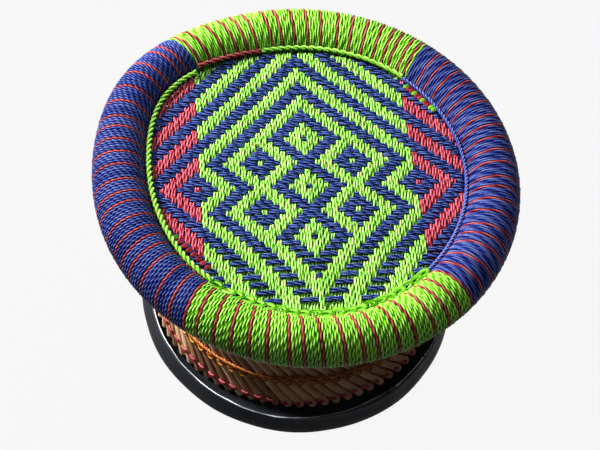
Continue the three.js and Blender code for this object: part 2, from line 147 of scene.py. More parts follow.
class Strands:
    """Tubes with one number of sides, gathered into one mesh."""

    def __init__(self, sides=CORD_SIDES):
        self.sides = sides
        self.places = []
        self.tints = []
        self.quads = []
        self.marks = []
        self.caps = []
        self.vertices = 0

    def add(self, line, facing, section, closed=False, tint=None):
        """A tube along line. section gives, for each point and side, how far the surface
        lies to the side and towards facing."""
        count, sides = len(line), self.sides
        aside, facing = frames(line, facing, closed)
        section = np.broadcast_to(section, (count, sides, 2))
        surface = (
            line[:, None]
            + section[:, :, :1] * aside[:, None]
            + section[:, :, 1:] * facing[:, None]
        )
        along = lengths(np.concatenate([line, line[:1]]) if closed else line)
        row, side = np.mgrid[0 : len(along) - 1, 0:sides]
        after, onward = (side + 1) % sides, (row + 1) % count
        first = self.vertices
        corners = [(row, side), (row, after), (onward, after), (onward, side)]
        numbers = [at_row * sides + at_side for at_row, at_side in corners]
        self.quads.append(first + np.stack(numbers, -1).reshape(-1, 4))
        near, far, low, high = along[row], along[row + 1], side / sides, (side + 1) / sides
        mark = np.stack([near, low, near, high, far, high, far, low], -1)
        self.marks.append(mark.reshape(-1, 4, 2))
        if not closed:
            self.caps.append(first + np.arange(sides)[::-1])
            self.caps.append(first + (count - 1) * sides + np.arange(sides))
        self.places.append(surface.reshape(-1, 3))
        tint = rng.random() if tint is None else tint
        self.tints.append(np.broadcast_to(tint, (count, sides)).ravel())
        self.vertices += count * sides

    def mesh(self, name):
        """The gathered tubes as a mesh, with both maps and the tints."""
        quads = np.concatenate(self.quads)
        corners, starts = quads.ravel(), np.arange(len(quads)) * 4
        mark = (np.concatenate(self.marks) * (CORD_MAP_SCALE, 1)).reshape(-1, 2)
        bake = self.bake_map(len(quads)).reshape(-1, 2)
        if self.caps:
            starts = np.concatenate([starts, len(corners) + np.arange(len(self.caps)) * self.sides])
            corners = np.concatenate([corners, *self.caps])
            cap_mark, cap_bake = self.cap_maps()
            mark, bake = np.concatenate([mark, cap_mark]), np.concatenate([bake, cap_bake])
        made = bpy.data.meshes.new(name)
        made.vertices.add(self.vertices)
        made.vertices.foreach_set("co", (np.concatenate(self.places) * MM).ravel())
        made.loops.add(len(corners))
        made.loops.foreach_set("vertex_index", corners)
        made.polygons.add(len(starts))
        made.polygons.foreach_set("loop_start", starts)
        made.polygons.foreach_set("use_smooth", np.ones(len(starts), bool))
        for title, values in (("Cord", mark), ("OFBake", bake)):
            made.uv_layers.new(name=title).data.foreach_set("uv", values.ravel())
        tint = made.attributes.new("tint", "FLOAT", "POINT")
        tint.data.foreach_set("value", np.concatenate(self.tints))
        made.update(calc_edges=True)
        made.validate()
        return made

    def bake_map(self, faces):
        """A map that lays the tubes side by side in rows, for baked textures."""
        stations = faces // self.sides
        across = math.ceil(math.sqrt(faces))
        rows = math.ceil(stations / across)
        station = np.repeat(np.arange(stations), self.sides)
        side = np.tile(np.arange(self.sides), stations)
        left = (station % across) / across
        low = (station // across + side / self.sides) / rows
        right, high = left + 1 / across, low + 1 / self.sides / rows
        laid_out = np.stack([left, low, left, high, right, high, right, low], -1)
        return laid_out.reshape(-1, 4, 2) * (1, 1 - CAP_ROW)

    def cap_maps(self):
        """Both maps of the tubes' ends, which lie in one row of the baked one."""
        number, side = np.divmod(np.arange(len(self.caps) * self.sides), self.sides)
        turn = side * FULL_TURN / self.sides
        around = np.stack([np.cos(turn), np.sin(turn)], 1) / 2 + 0.5
        slot = np.stack([number + around[:, 0], around[:, 1]], 1)
        return around, slot * (1 / len(self.caps), CAP_ROW) + (0, 1 - CAP_ROW)


def add_piece(name, strands, material, slot, *nodes):
    """An object from gathered strands, which rides on the frame and stands for nodes."""
    piece = bpy.data.objects.new(name, strands.mesh(name))
    bpy.context.scene.collection.objects.link(piece)
    piece.data.materials.append(material)
    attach(piece, "root")
    if nodes:
        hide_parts(*nodes)
    return piece


# Nodes of materials


NOISE_DETAIL = 3.0
PATCHES_PER_METRE = 55.0
FIBRE_LOW = 0.3
FIBRE_HIGH = 0.7


def empty_tree(owner):
    """The node tree of a material or a world, with nothing in it."""
    owner.use_nodes = True
    owner.node_tree.nodes.clear()
    return owner.node_tree


def add_node(tree, kind, inputs=None, **settings):
    """A node with its settings, and its inputs joined to sockets or set to values."""
    made = tree.nodes.new(kind)
    for key, value in settings.items():
        setattr(made, key, value)
    for key, value in (inputs or {}).items():
        if isinstance(value, bpy.types.NodeSocket):
            tree.links.new(value, made.inputs[key])
        else:
            made.inputs[key].default_value = value
    return made


def add_math(tree, operation, *values):
    """What an operation makes of sockets or numbers, as a socket."""
    inputs = dict(enumerate(values))
    return add_node(tree, "ShaderNodeMath", inputs, operation=operation).outputs[0]


def add_sum(tree, terms):
    """The sum of (socket, weight) terms, each taken about its middle, on a base of a half."""
    total = 0.5 - sum(weight for _, weight in terms) / 2
    for socket, weight in terms:
        total = add_math(tree, "MULTIPLY_ADD", socket, weight, total)
    return total


def linear(colour):
    """A written '#rrggbb' colour as the renderer's linear values."""
    shares = [int(colour[k : k + 2], 16) / 255 for k in (1, 3, 5)]
    return [((s + 0.055) / 1.055) ** 2.4 if s > 0.04045 else s / 12.92 for s in shares] + [1]


def add_ramp(tree, factor, stops):
    """A colour ramp through (place, colour) stops."""
    made = add_node(tree, "ShaderNodeValToRGB", {"Fac": factor})
    elements = made.color_ramp.elements
    while len(elements) < len(stops):
        elements.new(0.5)
    for element, (place, colour) in zip(elements, stops):
        element.position = place
        element.color = linear(colour)
    return made.outputs["Color"]


def add_noise(tree, place, scale):
    """Noise at a place, in features per unit of it."""
    noise = add_node(
        tree, "ShaderNodeTexNoise", {"Vector": place, "Scale": scale, "Detail": NOISE_DETAIL}
    )
    return noise.outputs["Fac"]


def streaks(tree, along, around):
    """Noise on the strand's own map, stretched along it."""
    place = add_node(tree, "ShaderNodeUVMap", uv_map="Cord").outputs["UV"]
    scaled = add_node(tree, "ShaderNodeMapping", {"Vector": place, "Scale": (along, around, 1)})
    return add_noise(tree, scaled.outputs[0], 1.0)


def patches(tree):
    """Noise in the object's own space."""
    place = add_node(tree, "ShaderNodeTexCoord").outputs["Object"]
    return add_noise(tree, place, PATCHES_PER_METRE)


def painted_ply_light(tree):
    """One along the two crests of a two-lobed section, as painted highlight, and nought in the
    valleys between, as painted shade.
    """
    place = add_node(tree, "ShaderNodeUVMap", uv_map="Cord").outputs["UV"]
    around = add_node(tree, "ShaderNodeSeparateXYZ", {0: place}).outputs["Y"]
    turned = add_math(tree, "MULTIPLY", around, 2 * FULL_TURN)
    return add_math(tree, "MULTIPLY_ADD", add_math(tree, "COSINE", turned), 0.5, 0.5)


def strand_material(
    name, stops, roughness, fibres=(3.0, 9.0), grain=0.35, depth=0.12,
    weights=(0.55, 0.45, 0.5), specular=0.5, tinted=True, crest=0.0,
):
    """A surface of strands. Its colour runs through stops, by fibre, patch and strand as weights
    say, and by a ply's crest, which paints highlight on the crests and shade in the valleys between
    the plies. Fibres stand out by a depth in millimetres."""
    material = bpy.data.materials.new(name)
    tree = empty_tree(material)
    fibre = streaks(tree, *fibres)
    terms = [(fibre, weights[0]), (patches(tree), weights[1])]
    # The tint gives each strand its own tone; on the tyre it carries the painted highlight along the
    # crest
    if tinted:
        tint = add_node(tree, "ShaderNodeAttribute", attribute_name="tint")
        terms.append((tint.outputs["Fac"], weights[2]))
    # Painted highlight on the crests of the plies, and painted shade in the valleys between them
    if crest:
        terms.append((painted_ply_light(tree), crest))
    fibre_span = {"Value": fibre, "From Min": FIBRE_LOW, "From Max": FIBRE_HIGH}
    smooth, rough = roughness
    gloss = add_node(tree, "ShaderNodeMapRange", {**fibre_span, "To Min": smooth, "To Max": rough})
    relief = {"Height": fibre, "Strength": grain, "Distance": depth * MM}
    surface = {
        "Base Color": add_ramp(tree, add_sum(tree, terms), stops),
        "Roughness": gloss.outputs[0],
        "Normal": add_node(tree, "ShaderNodeBump", relief).outputs[0],
        "Specular IOR Level": specular,
    }
    shader = add_node(tree, "ShaderNodeBsdfPrincipled", surface)
    add_node(tree, "ShaderNodeOutputMaterial", {"Surface": shader.outputs[0]})
    return material


# Materials


# Each ramp's light end shows most on the crests of the plies, as painted highlight, and its dark end
# in the valleys between them, as painted shade
CORD_COLOURS = {
    "green": [(0.1, "#165002"), (0.45, "#7acc1e"), (0.85, "#aae468")],
    # A paler copy of the green cord for the seat, whose paleness is painted sheen
    "seat_green_painted_sheen": [(0.1, "#206008"), (0.45, "#80c236"), (0.85, "#b8ea84")],
    "blue": [(0.1, "#03062c"), (0.45, "#1b2b78"), (0.85, "#6370a4")],
    "seat_blue": [(0.1, "#040a24"), (0.45, "#192d72"), (0.85, "#5669a6")],
    "light_blue": [(0.1, "#0e1650"), (0.45, "#2e3c92"), (0.85, "#6c7abe")],
    "red": [(0.1, "#5a0a13"), (0.45, "#a63242"), (0.85, "#cc6a76")],
    "rim_red": [(0.1, "#470709"), (0.45, "#963034"), (0.85, "#a85a5c")],
    "orange": [(0.1, "#6b2f06"), (0.45, "#b96a14"), (0.85, "#e39c3a")],
}
REED_COLOURS = [(0.2, "#5a3d2b"), (0.5, "#b88a64"), (0.8, "#e8c49c")]
# Grass of the cores, darkened to paint the shade that fills the gaps between the rim's turns of cord
GRASS_AND_SHADE_COLOURS = [(0.2, "#1c150c"), (0.5, "#382b19"), (0.8, "#5c4a2e")]
CANE_COLOURS = [(0.2, "#5f4a30"), (0.5, "#8f7350"), (0.8, "#ad9066")]
# The last stop of the rubber is the near white of the painted highlight along the tyre's crest
RUBBER_COLOURS = [(0.1, "#17191c"), (0.45, "#2c3035"), (0.65, "#434950"), (0.9, "#eceff2")]

# How strongly painted highlight on the crests of the plies, and painted shade in the valleys between
# them, show in a cord's colour
PLY_LIGHT_WEIGHTS = {"blue": 0.45}
PLAIN_PLY_LIGHT = 0.7

cords = {
    name: strand_material(
        f"cord_{name}", stops, roughness=(0.28, 0.44), weights=(0.5, 0.3, 0.2), specular=0.04,
        crest=PLY_LIGHT_WEIGHTS.get(name, PLAIN_PLY_LIGHT),
    )
    for name, stops in CORD_COLOURS.items()
}
reed_finish = strand_material(
    "reed_cane", REED_COLOURS, roughness=(0.45, 0.7), fibres=(0.3, 16.0), grain=0.6, depth=0.3,
    weights=(1.1, 0.4, 0.5), specular=0.1,
)
grass_and_shade_finish = strand_material("bound_grass_and_shade", GRASS_AND_SHADE_COLOURS, roughness=(0.7, 0.9), tinted=False)
cane_finish = strand_material("hoop_cane", CANE_COLOURS, roughness=(0.45, 0.65), tinted=False)
# The rubber's tint weight carries the painted highlight along the crest
rubber_finish = strand_material(
    "tyre_rubber", RUBBER_COLOURS, roughness=(0.5, 0.65), fibres=(0.6, 8.0), grain=0.3, depth=0.3,
    weights=(0.2, 0.35, 0.8), specular=0.06,
)


# Rim: a core wound with cord


# The colour of a side's winding, the azimuth in degrees where it starts, the length of half
# a turn of its cord's twist, and the plain turns before, between and after the red ones
WINDING = {
    "front": ("green", 230.5, 8.6, [0, 3, 4, 4, 4, 4, 5, 3, 4, 5, 4, 3, 5, 4, 5, 4, 3, 4, 0]),
    "right": ("blue", 310.9, 19.0, [4, 4, 5, 3, 3, 5, 4, 4, 3, 5, 4, 4, 4, 3, 5, 3, 4, 4, 4, 3, 5]),
    "back": ("green", 406.1, 15.0, [1, 2, 3, 2, 3, 4, 4, 4, 5, 4, 4, 4, 3, 5, 3, 3, 4, 5, 3, 1]),
    "left": ("blue", 488.3, 5.6, [4, 2, 5, 3, 5, 5, 5, 3, 4, 4, 4, 5, 4, 3, 5, 4, 3, 3, 4, 5, 4, 4]),
}
CORD_RADIUS = 1.32
LOBE_DEPTHS = {"green": 0.27, "blue": 0.2}
RED_LOBE_DEPTH = 0.12
PHASE_STEP = 1.1
PHASE_WANDER = 0.35

# A turn of the winding: how far round the stool it advances, where round the rim it starts
# and ends, and how its ends tuck in there
TURN_ADVANCE = math.radians(4.6)
SEAM_ANGLE = math.radians(-135)
TUCK_SHARE = 0.015
TUCK_DEPTH = 1.0
TURN_POINTS = 120

# How unevenly the turns lie: sideways by a share of their pitch, in two to four waves, and
# out or in by millimetres
TURN_WANDER = 0.04
TURN_WAVES = (2, 5)
TURN_LIFT = 0.12

# The cord is pressed narrower where a turn has less room than so many radii, within limits
FULL_WIDTH = 2.3
TURN_WIDTHS = (0.6, 0.9)

# The rim was made by hand and isn't quite round: the azimuth and spread in degrees of each
# place where it differs, and how far out its outer and its inner side lie there
UNEVENNESS = (
    (142, 17, 8.5, 12.5),
    (224, 12, 0.0, 2.6),
    (270, 25, 0.0, 7.0),
)
RIM_THICKNESS = 48.0
CORE_STEPS = 180
CORE_SIDES = 20

_, rim_high = box_mm("rim_winding_front_green")
core_low, core_high = box_mm("rim_core")
core_radius = (core_high[2] - core_low[2]) / 2
rim_radius = RIM_THICKNESS / 2
rim_height = rim_high[2] - rim_radius
rim_centre = core_high[0] - core_radius
rim_inner = rim_centre - rim_radius


def uneven(azimuth):
    """How far out the rim's outer and inner sides lie at an azimuth, beyond a round rim's."""
    outer, inner = 0.0, 0.0
    for middle, spread, outer_reach, inner_reach in UNEVENNESS:
        away = (azimuth - math.radians(middle) + math.pi) % FULL_TURN - math.pi
        share = np.exp(-((away / math.radians(spread)) ** 2) / 2)
        outer, inner = outer + outer_reach * share, inner + inner_reach * share
    return outer, inner


def rim_ring(azimuth, around, radius):
    """Distances from Z on a ring inside the rim, where around runs round its section."""
    outer, inner = uneven(azimuth)
    return rim_centre + (outer + inner) / 2 + (radius + (outer - inner) / 2) * np.cos(around)


def rim_turn(strands, azimuth, pitch, half_turn, phase, depth):
    """One turn of cord round the rim, which is over its top at the azimuth."""
    share = np.linspace(0, 1, TURN_POINTS)
    around = SEAM_ANGLE - FULL_TURN * share
    top_share = (SEAM_ANGLE + 1.5 * math.pi) / FULL_TURN
    waves = share * rng.integers(*TURN_WAVES) + rng.random()
    wander = TURN_WANDER * pitch * np.sin(FULL_TURN * waves)
    along = azimuth + TURN_ADVANCE * (share - top_share) + wander
    tucked = TUCK_DEPTH * (np.clip(np.minimum(share, 1 - share) / TUCK_SHARE, 0, 1) - 1)
    distance = rim_radius - CORD_RADIUS + tucked + rng.uniform(-TURN_LIFT, TURN_LIFT)
    reach = rim_ring(along, around, distance)
    line = polar(reach, along, rim_height + distance * np.sin(around))
    facing = polar(np.cos(around), along, np.sin(around))
    width = np.clip(reach * pitch / (FULL_WIDTH * CORD_RADIUS), *TURN_WIDTHS)
    section = ply_section(line, CORD_RADIUS, half_turn, depth, phase, width, RIM_CORD_SIDES)
    strands.add(line, facing, section)


def wind_side(side, colour, start, end, half_turn, counts):
    """The winding of one side, from its start to its end: plain turns, and red ones."""
    pitch = math.radians(end - start) / (sum(counts) + len(counts) - 1)
    plain, red = Strands(RIM_CORD_SIDES), Strands(RIM_CORD_SIDES)
    azimuth = math.radians(start) + pitch / 2
    phase = 0.0
    for group, count in enumerate(counts):
        for _ in range(count):
            rim_turn(plain, azimuth, pitch, half_turn, phase, LOBE_DEPTHS[colour])
            azimuth += pitch
            phase += PHASE_STEP + rng.normal(0, PHASE_WANDER)
        if group + 1 < len(counts):
            rim_turn(red, azimuth, pitch, half_turn, phase, RED_LOBE_DEPTH)
            azimuth += pitch
    node = f"rim_winding_{side}"
    add_piece(f"winding_{side}_{colour}", plain, cords[colour], f"{colour}_cord", f"{node}_{colour}")
    add_piece(f"winding_{side}_red", red, cords["rim_red"], "red_cord", f"{node}_red")


def wind_rim():
    """The windings of all four sides, each up to the start of the next."""
    starts = [start for _, start, _, _ in WINDING.values()]
    ends = [*starts[1:], starts[0] + 360]
    for (side, (colour, start, half_turn, counts)), end in zip(WINDING.items(), ends):
        wind_side(side, colour, start, end, half_turn, counts)


def add_core():
    """The bundle of grass inside the winding, dark enough to paint the shade in the gaps between the
    turns.
    """
    azimuth = np.arange(CORE_STEPS) * FULL_TURN / CORE_STEPS
    around = np.arange(CORE_SIDES) * FULL_TURN / CORE_SIDES
    inner = rim_ring(azimuth, math.pi, core_radius)
    outer = rim_ring(azimuth, 0.0, core_radius)
    line = polar((inner + outer) / 2, azimuth, rim_height)
    width = (outer - inner)[:, None] / 2
    sides = np.broadcast_arrays(core_radius * np.cos(around), width * np.sin(around))
    core = Strands(CORE_SIDES)
    core.add(line, polar(1.0, azimuth, 0.0), np.stack(sides, -1), closed=True)
    add_piece("rim_core_grass", core, grass_and_shade_finish, "grass_bundle", "rim_core")


wind_rim()
add_core()


# Seat: warps and wefts woven in nested diamonds


# Columns of warp pairs and rows of weft pairs, counted from the middle of the pattern. From
# the first loose row on, towards the front, the rows lie ever further apart.
COLUMN_PITCH = 5.15
COLUMN_SPREAD = 1.2e-5
LAST_COLUMN = 27
RED_COLUMN = 19
ROW_PITCH = 5.21
ROW_SPREAD = 6.1e-5
FIRST_ROW = -28
LAST_ROW = 19
MIDDLE_ROW = -4.5
FIRST_LOOSE_ROW = 10
LOOSENING = 0.155
MIDDLE_ACROSS = -0.5
MIDDLE_BACK = 8.2

# The pattern counts steps outward from its middle, and a warp lies over the wefts at some of
# each period's steps. The arms at its sides and the figures in its middle count otherwise.
PATTERN_PERIOD = 6
WARP_STEPS = (1, 2, 3)
WHOLE_START = 2
ARM_COLUMNS = 19
ARM_ROWS = 5
ARM_START = 16
MIDDLE_COLUMNS = 8
MIDDLE_ROWS = 10
MIDDLE_TURN = 5

# The two kinds of cord, each laid in pairs, with its offset from the middle of its pair and
# the step between the points of its line
WARP = {"radius": 1.25, "offset": 1.22, "depth": 0.25, "half_turn": 8.6, "step": 1.25}
WEFT = {"radius": 1.1, "offset": 1.14, "depth": 0.12, "half_turn": 9.0, "step": 1.45}
WEAVE_LIFT = 1.6
FLOAT_BOW = 0.3
PAIR_PINCH = 0.06
END_DROP = 7.0
END_RUN = 7.0
FEWEST_POINTS = 4
SEAT_TUCK = 1.0
REACH_ROUNDS = 4

_, warp_high = box_mm("seat_warp_green")
seat_height = warp_high[2]
weave_height = seat_height - WEAVE_LIFT * (1 + FLOAT_BOW) - WARP["radius"]
seat_radius = rim_inner + SEAT_TUCK


def warp_shows(column, row):
    """True where the warp of a column lies over the weft of a row."""
    across, along = np.abs(column), np.abs(row)
    in_arm = (across <= ARM_COLUMNS) & (along <= ARM_ROWS)
    in_middle = (across <= MIDDLE_COLUMNS) & (along <= MIDDLE_ROWS)
    step = across + along + WHOLE_START
    step = np.where(in_arm, ARM_START - across + along, step)
    step = np.where(in_middle, across + MIDDLE_TURN - np.abs(along - MIDDLE_TURN), step)
    return np.isin(step % PATTERN_PERIOD, WARP_STEPS)


def column_place(column):
    """Where a column lies across the seat."""
    return MIDDLE_ACROSS + COLUMN_PITCH * (column + COLUMN_SPREAD * column**3)


def row_place(row):
    """Where a row lies, from the front to the back of the seat."""
    steps = row - MIDDLE_ROW
    loose = LOOSENING * np.maximum(row - FIRST_LOOSE_ROW, 0) ** 2
    return MIDDLE_BACK - ROW_PITCH * (steps + ROW_SPREAD * steps**3) - loose


def seat_reach(across, hand, turned):
    """How far a strand at a place across the seat runs towards hand before the rim. A
    turned strand runs along X."""
    reach = 0.0
    for _ in range(REACH_ROUNDS):
        x, y = (hand * reach, across) if turned else (across, hand * reach)
        radius = seat_radius + uneven(math.atan2(y, x))[1]
        reach = math.sqrt(max(radius**2 - across**2, 0))
    return hand * reach


def woven_heights(places, crossings, above):
    """Heights of a strand at places along it, which lies over or under at each crossing and
    bows up in the middle of a float."""
    order = np.argsort(crossings)
    crossings, above = crossings[order], above[order]
    bowed = above & np.roll(above, 1) & np.roll(above, -1)
    level = np.where(above, 1.0, -1.0) + FLOAT_BOW * bowed
    number = np.clip(np.searchsorted(crossings, places) - 1, 0, len(crossings) - 2)
    share = (places - crossings[number]) / (crossings[number + 1] - crossings[number])
    share = np.clip(share, 0, 1)
    eased = share * share * (3 - 2 * share)
    return WEAVE_LIFT * (level[number] * (1 - eased) + level[number + 1] * eased)


def drawn_in(lift):
    """How far apart the two cords of a pair lie: they draw together where they float."""
    return 1 - PAIR_PINCH * np.clip(lift / WEAVE_LIFT, 0, 1)


def tucked_in(places):
    """How far the ends of a strand drop where it turns down at the rim."""
    run = np.minimum(places - places[0], places[-1] - places)
    return END_DROP * np.clip(1 - run / END_RUN, 0, 1) ** 2


def add_pair(strands, kind, place, crossings, above, turned):
    """The two cords of a pair, from rim to rim, at a place across the seat."""
    start, end = seat_reach(place, -1, turned), seat_reach(place, 1, turned)
    run = np.linspace(start, end, max(int((end - start) / kind["step"]), FEWEST_POINTS))
    lift = woven_heights(run, crossings, above)
    height = weave_height + lift - tucked_in(run)
    for hand in (-1, 1):
        beside = place + hand * kind["offset"] * drawn_in(lift)
        line = np.stack([run, beside, height] if turned else [beside, run, height], -1)
        phase = rng.random() * math.pi
        section = ply_section(line, kind["radius"], kind["half_turn"], kind["depth"], phase)
        strands.add(line, np.broadcast_to((0.0, 0.0, 1.0), line.shape), section)


def warp_field(column):
    """Which field of warps a column belongs to."""
    if abs(column) < RED_COLUMN:
        return "green"
    return "red_right" if column > 0 else "red_left"


def weave_seat():
    """Every warp and weft, as one piece of wefts and three fields of warps."""
    columns = np.arange(-LAST_COLUMN, LAST_COLUMN + 1)
    rows = np.arange(FIRST_ROW, LAST_ROW + 1)
    column_at, row_at = column_place(columns), row_place(rows)
    fields = {"green": Strands(), "red_left": Strands(), "red_right": Strands()}
    wefts = Strands()
    for column, across in zip(columns, column_at):
        above = warp_shows(column, rows)
        add_pair(fields[warp_field(column)], WARP, across, row_at, above, turned=False)
    for row, back in zip(rows, row_at):
        above = ~warp_shows(columns, row)
        add_pair(wefts, WEFT, back, column_at, above, turned=True)
    for field, strands in fields.items():
        colour = field.split("_")[0]
        # The seat's green warps take the paler copy of the green cord, with its painted sheen
        finish = cords["seat_green_painted_sheen"] if colour == "green" else cords[colour]
        add_piece(f"seat_warps_{field}", strands, finish, f"{colour}_cord", f"seat_warp_{field}")
    add_piece("seat_wefts_blue", wefts, cords["seat_blue"], "blue_cord", "seat_weft_blue")


weave_seat()


# Edging: ropes, and a chained cord at the front, laid in the corner between seat and rim


ROPE_STEP = 0.9
ROPE_SINK = 0.5
ROPE_TINTS = (0.3, 0.7)
ROPE_FINISHES = {"green": "green", "blue": "light_blue", "red": "rim_red"}
TIGHT_ROPE = {"strand": 1.4, "reach": 1.45, "pitch": 12.0}
THIN_ROPE = {"strand": 1.0, "reach": 1.0, "pitch": 8.0}
BACK_ROPE = {"strand": 1.3, "reach": 1.2, "pitch": 15.0}

# A link of the chain leans outward and lies over the next one
LINK_PITCH = 9.2
LINK_LENGTH = 12.0
LINK_WIDTH = 5.6
LINK_STRAND = 1.5
LINK_LEAN = math.radians(12)
LINK_LIFT = 1.6
LINK_TILT = 0.2
LINK_WANDER = 0.004
LINK_POINTS = 20

edging_low, edging_high = box_mm("edging_front_green")
edging_centre = -edging_low[1] - (edging_high[2] - edging_low[2]) / 2


def add_edging(side, colour, start, end, make, inset=0.0, raised=(0.0, 0.0)):
    """A rope of two strands in the corner between seat and rim, between azimuths in degrees,
    raised at its start and end by amounts."""
    strand, reach = make["strand"], make["reach"]
    height = seat_height + reach + strand - ROPE_SINK + np.array(raised)
    line, facing = arc(edging_centre - inset, start, end, height, ROPE_STEP)
    line = line + facing * uneven(np.arctan2(facing[:, 1], facing[:, 0]))[1][:, None]
    rope = Strands(STRAND_SIDES)
    for number, tint in enumerate(ROPE_TINTS):
        way = laid(line, facing, reach, make["pitch"], math.pi * number)
        rope.add(way, facing, round_section(strand, STRAND_SIDES), tint=tint)
    finish = cords[ROPE_FINISHES[colour]]
    node = f"edging_{side}_{colour}"
    add_piece(f"rope_{side}_{colour}", rope, finish, f"{colour}_cord", node)


def add_chain(side, colour, start, end, inset):
    """Chained cord in the corner between seat and rim, between azimuths in degrees."""
    start, end = math.radians(start), math.radians(end)
    links = round((end - start) * edging_centre / LINK_PITCH)
    share = np.arange(LINK_POINTS) * FULL_TURN / LINK_POINTS
    rise = LINK_STRAND + LINK_WIDTH / 2 * math.sin(LINK_LEAN)
    chain = Strands(STRAND_SIDES)
    for azimuth in start + (end - start) * (np.arange(links) + 0.5) / links:
        azimuth += rng.normal(0, LINK_WANDER)
        radius = edging_centre - inset + uneven(azimuth)[1]
        middle = polar(radius, azimuth, seat_height + rise)
        ahead, outward = polar(1.0, azimuth + math.pi / 2, 0.0), polar(1.0, azimuth, 0.0)
        tilt = LINK_LEAN + rng.normal(0, LINK_TILT)
        aside = outward * math.cos(tilt) + np.array([0, 0, math.sin(tilt)])
        line = middle + np.cos(share)[:, None] * (ahead * LINK_LENGTH / 2 + (0, 0, LINK_LIFT))
        line = line + np.sin(share)[:, None] * aside * LINK_WIDTH / 2
        facing = np.broadcast_to(np.cross(ahead, aside), line.shape)
        chain.add(line, facing, round_section(LINK_STRAND, STRAND_SIDES), closed=True)
    node = f"edging_{side}_{colour}"
    add_piece(f"chain_{side}_{colour}", chain, cords[colour], f"{colour}_cord", node)


add_edging("left", "green", start=129.2, end=230.6, make=TIGHT_ROPE, inset=2.9)
add_chain("front", "green", start=231.0, end=309.1, inset=1.8)
add_edging("right", "blue", start=309.5, end=406.0, make=THIN_ROPE, inset=1.0)
add_edging("back", "green", start=46.4, end=102.8, make=BACK_ROPE)
add_edging("back", "red", start=103.2, end=127.5, make=BACK_ROPE, raised=(0.0, 3.5))


# Beaded stitches: short rows of cord wrapped over the ends of the outermost wefts


BEAD_LENGTH = 6.0
BEAD_RADIUS = 2.0
BEAD_SINK = 1.0
BEAD_POINTS = 9
BEAD_TAPER = 0.98
BEAD_TILT = math.radians(20)

# The first and last place of a row, across and back, and the colours of its beads
BEAD_ROWS = {
    "left": ((-120.0, -65.5), (-94.0, -97.0), ["green"] + ["red"] * 7),
    "right": (
        (122.5, 63.5),
        (100.5, 92.0),
        ["green", "green", "red", "red", "green", "red", "red", "green", "red", "red", "green"],
    ),
}


def add_beads(name, first, last, colours):
    """A row of beads, as one piece for each colour."""
    rows = {}
    share = np.linspace(-1, 1, BEAD_POINTS)
    size = np.sqrt(1 - (share * BEAD_TAPER) ** 2)
    section = round_section(BEAD_RADIUS, STRAND_SIDES)[None] * size[:, None, None]
    along = np.array([math.cos(BEAD_TILT), math.sin(BEAD_TILT), 0.0]) * BEAD_LENGTH / 2
    for number, colour in enumerate(colours):
        place = np.array(first) + (np.array(last) - np.array(first)) * number / (len(colours) - 1)
        middle = np.array([*place, seat_height + BEAD_RADIUS - BEAD_SINK])
        line = middle + share[:, None] * along
        strands = rows.setdefault(colour, Strands(STRAND_SIDES))
        strands.add(line, np.broadcast_to((0.0, 0.0, 1.0), line.shape), section)
    for colour, strands in rows.items():
        add_piece(f"beads_{name}_{colour}", strands, cords[colour], f"{colour}_cord")


for row_name, row_facts in BEAD_ROWS.items():
    add_beads(row_name, *row_facts)


# Reeds: two layers of straight rods that lean opposite ways


REED_RADIUS = 4.25
REED_SPACING = 7.905
REED_TWIST = math.radians(50)
OUTER_TOP_INSET = 20.0
OUTER_FOOT_RADIUS = 140.0
LAYER_STEP = 9.71
BUNDLE_REEDS = 5

# Which way each layer leans, and how far inside the outer layer it stands
LAYERS = {"outer": (1, 0.0), "inner": (-1, LAYER_STEP)}

# The shape of one reed: its rounded lower end, and how it differs from a true rod
REED_STEP = 16.0
REED_SIDES = 12
DOME_LENGTH = 2.4
DOME_SIZES = np.array([0.02, 0.55, 0.85])
END_CLEARANCE = 0.7
THINNEST_REED = 0.93
KNOBBLINESS = 0.012
REED_WANDER = 0.35

bundle_counts = {
    layer: sum(node.startswith(f"reeds_{layer}_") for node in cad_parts) for layer in LAYERS
}
_, tyre_high = box_mm("foot_tyre_strip")
foot_radius, tyre_height = tyre_high[0], tyre_high[2]
hoop_low, _ = box_mm("top_hoop")


def reed_ends(azimuth, hand, inset):
    """Where the axis of a reed meets the foot ring and the hoop."""
    foot = polar(OUTER_FOOT_RADIUS - inset, azimuth, tyre_height)
    top = polar(rim_centre - OUTER_TOP_INSET - inset, azimuth - hand * REED_TWIST, hoop_low[2])
    return foot, top


def bundle_lead(hand, inset):
    """Azimuth of the middle reed of the first bundle, whose first reed stands at nought."""
    foot, top = reed_ends(0.0, hand, inset)
    axis = unit(top - foot)
    waist = foot - axis * (foot @ (axis * (1, 1, 0))) / (axis[0] ** 2 + axis[1] ** 2)
    spread = math.hypot(waist[0], waist[1]) * axis[2]
    return (BUNDLE_REEDS - 1) * math.asin(REED_SPACING / 2 / spread)


def add_reed(strands, azimuth, hand, inset):
    """A reed with its foot at an azimuth, slightly bowed and knobbly."""
    foot, top = reed_ends(azimuth, hand, inset)
    axis = unit(top - foot)
    lean = math.acos(axis[2])
    radius = REED_RADIUS * rng.uniform(THINNEST_REED, 1.0)
    trim = (END_CLEARANCE + radius * math.sin(lean)) / math.cos(lean)
    length = np.linalg.norm(top - foot) - 2 * trim
    dome_places = -DOME_LENGTH * np.sqrt(1 - DOME_SIZES**2)
    along = np.concatenate([dome_places, np.linspace(0, length, int(length / REED_STEP))])
    size = np.concatenate([DOME_SIZES, rng.normal(1, KNOBBLINESS, len(along) - len(DOME_SIZES))])
    line = foot + axis * (trim + along)[:, None]
    outward = unit(line * (1, 1, 0))
    bow = np.sin(math.pi * np.clip(along / length, 0, 1))[:, None]
    line = line + outward * bow * rng.normal(0, REED_WANDER)
    section = round_section(radius, REED_SIDES)[None] * size[:, None, None]
    strands.add(line, outward, section)


